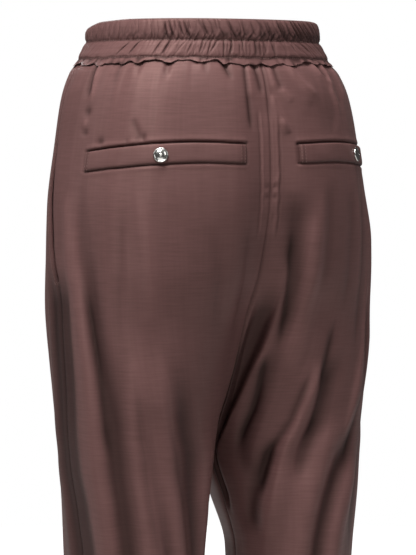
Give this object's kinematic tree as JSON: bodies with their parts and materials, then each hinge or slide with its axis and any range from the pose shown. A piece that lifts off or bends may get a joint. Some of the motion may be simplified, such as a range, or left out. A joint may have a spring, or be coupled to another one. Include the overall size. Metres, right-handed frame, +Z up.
{
  "type": "track pants",
  "caption": "Loose tapered track pants in smooth satin cloth, worn and hollow, with a gathered elastic waistband, welt back pockets with press studs and slit side pockets.",
  "frame": {"origin": "middle of the waist opening, at the height of the stitches between the waistband's two tunnels, where the wearer's waist holds the garment", "axes": "+Z up along the body, +Y towards the back of the garment, +X towards its left leg"},
  "size_m": [0.3611, 0.2286, 0.9542],
  "materials": {
    "cloth": "smooth satin weave in dusty brown with a soft sheen",
    "polished_metal": "polished nickel plate"
  },
  "bodies": {
    "root": {"waistband": "cloth", "back_left": "cloth", "back_right": "cloth", "front_left": "cloth", "front_right": "cloth", "welt_left": "cloth", "welt_right": "cloth", "pocket_left": "cloth", "pocket_right": "cloth", "snap_left": "polished_metal", "snap_right": "polished_metal"}
  },
  "joints": []
}
